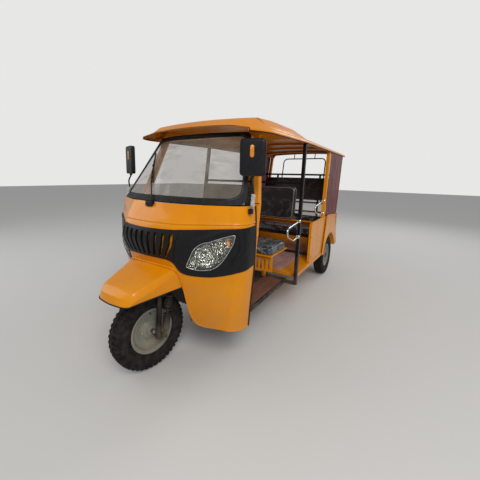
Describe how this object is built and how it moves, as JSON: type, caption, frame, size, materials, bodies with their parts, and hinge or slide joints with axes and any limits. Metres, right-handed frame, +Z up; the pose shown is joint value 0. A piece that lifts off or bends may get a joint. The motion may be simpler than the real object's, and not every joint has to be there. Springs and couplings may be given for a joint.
{
  "type": "auto rickshaw",
  "caption": "Passenger auto rickshaw: moulded front cab with lamps and a windscreen, a beak over the steered wheel, an open-sided bench cabin and a raised-front canopy roof.",
  "frame": {"origin": "on the ground under the middle of the vehicle's box", "axes": "-Y forwards, +X to the vehicle's left, +Z up"},
  "size_m": [1.4392, 3.766, 1.8901],
  "materials": {
    "black_paint": "satin black paint",
    "cast_grey": "cast aluminium",
    "chrome_tube": "polished chrome",
    "grey_paint": "silver-grey paint",
    "lamp_lens": "clear moulded lens over a bright reflector",
    "mask_plastic": "matte black moulded plastic",
    "mat_brown": "brown ribbed mat",
    "mat_pink": "pinkish brown mat",
    "red_lens": "red lens",
    "red_paint": "dark red paint",
    "rubber_seal": "black rubber",
    "screen": "clear laminated glass",
    "steel_dark": "black enamel",
    "trim_plastic": "black plastic",
    "tyre_rubber": "black tyre rubber",
    "vinyl": "dark brown vinyl",
    "yellow_paint": "glossy orange-yellow paint"
  },
  "bodies": {
    "body": {"chassis_frame": "black_paint", "front_cab": "yellow_paint", "cab_mask": "mask_plastic", "headlamp_left": "lamp_lens", "headlamp_right": "lamp_lens", "front_mudguard": "yellow_paint", "wheel_well": "black_paint", "windscreen": "screen", "windscreen_seal": "rubber_seal", "front_hoop": "yellow_paint", "driver_floor": "black_paint", "driver_mat": "mat_brown", "passenger_floor": "yellow_paint", "passenger_mat": "mat_pink", "side_posts": "black_paint", "driver_bench": "yellow_paint", "driver_cushion": "vinyl", "driver_backrest": "vinyl", "middle_bench": "yellow_paint", "middle_cushion": "vinyl", "rear_bench": "yellow_paint", "rear_cushion": "vinyl", "rear_backrest": "vinyl", "rear_back_rails": "black_paint", "side_panel_left": "yellow_paint", "side_panel_right": "yellow_paint", "rear_mudguard_left": "yellow_paint", "rear_mudguard_right": "yellow_paint", "rear_panel": "yellow_paint", "pillar_mid_left": "yellow_paint", "pillar_mid_right": "yellow_paint", "rear_frame": "yellow_paint", "rear_window_hoop": "black_paint", "quarter_panel_left": "red_paint", "quarter_panel_right": "red_paint", "roof_shell": "yellow_paint", "roof_rails": "yellow_paint", "roof_bows": "yellow_paint", "mirror_left": "trim_plastic", "mirror_right": "trim_plastic", "grab_handles": "chrome_tube", "wiper": "steel_dark", "tail_lamps": "red_lens", "dashboard": "trim_plastic", "steering_head": "steel_dark", "engine": "cast_grey", "rear_axle": "steel_dark", "leaf_springs": "steel_dark"},
    "steering": {"fork": "steel_dark", "fork_links": "steel_dark", "fork_springs": "steel_dark", "handlebar": "chrome_tube", "hand_grips": "trim_plastic"},
    "front_wheel": {"front_tyre": "tyre_rubber", "front_rim": "grey_paint"},
    "rear_wheel_left": {"rear_tyre_left": "tyre_rubber", "rear_rim_left": "grey_paint"},
    "rear_wheel_right": {"rear_tyre_right": "tyre_rubber", "rear_rim_right": "grey_paint"}
  },
  "joints": [
    {"name": "steer", "type": "hinge", "parent": "body", "child": "steering", "pos_m": [0, -1.521, 0.278], "axis": [0, 0.3746, 0.9272], "range_deg": [-25, 45]},
    {"name": "front_wheel_spin", "type": "hinge", "parent": "steering", "child": "front_wheel", "pos_m": [-0.00966, -1.58022, 0.27768], "axis": [0.9848, -0.161, 0.065], "continuous": true},
    {"name": "rear_wheel_left_spin", "type": "hinge", "parent": "body", "child": "rear_wheel_left", "pos_m": [0.558, 1.119, 0.278], "axis": [1, 0, 0], "continuous": true},
    {"name": "rear_wheel_right_spin", "type": "hinge", "parent": "body", "child": "rear_wheel_right", "pos_m": [-0.558, 1.119, 0.278], "axis": [1, 0, 0], "continuous": true}
  ]
}
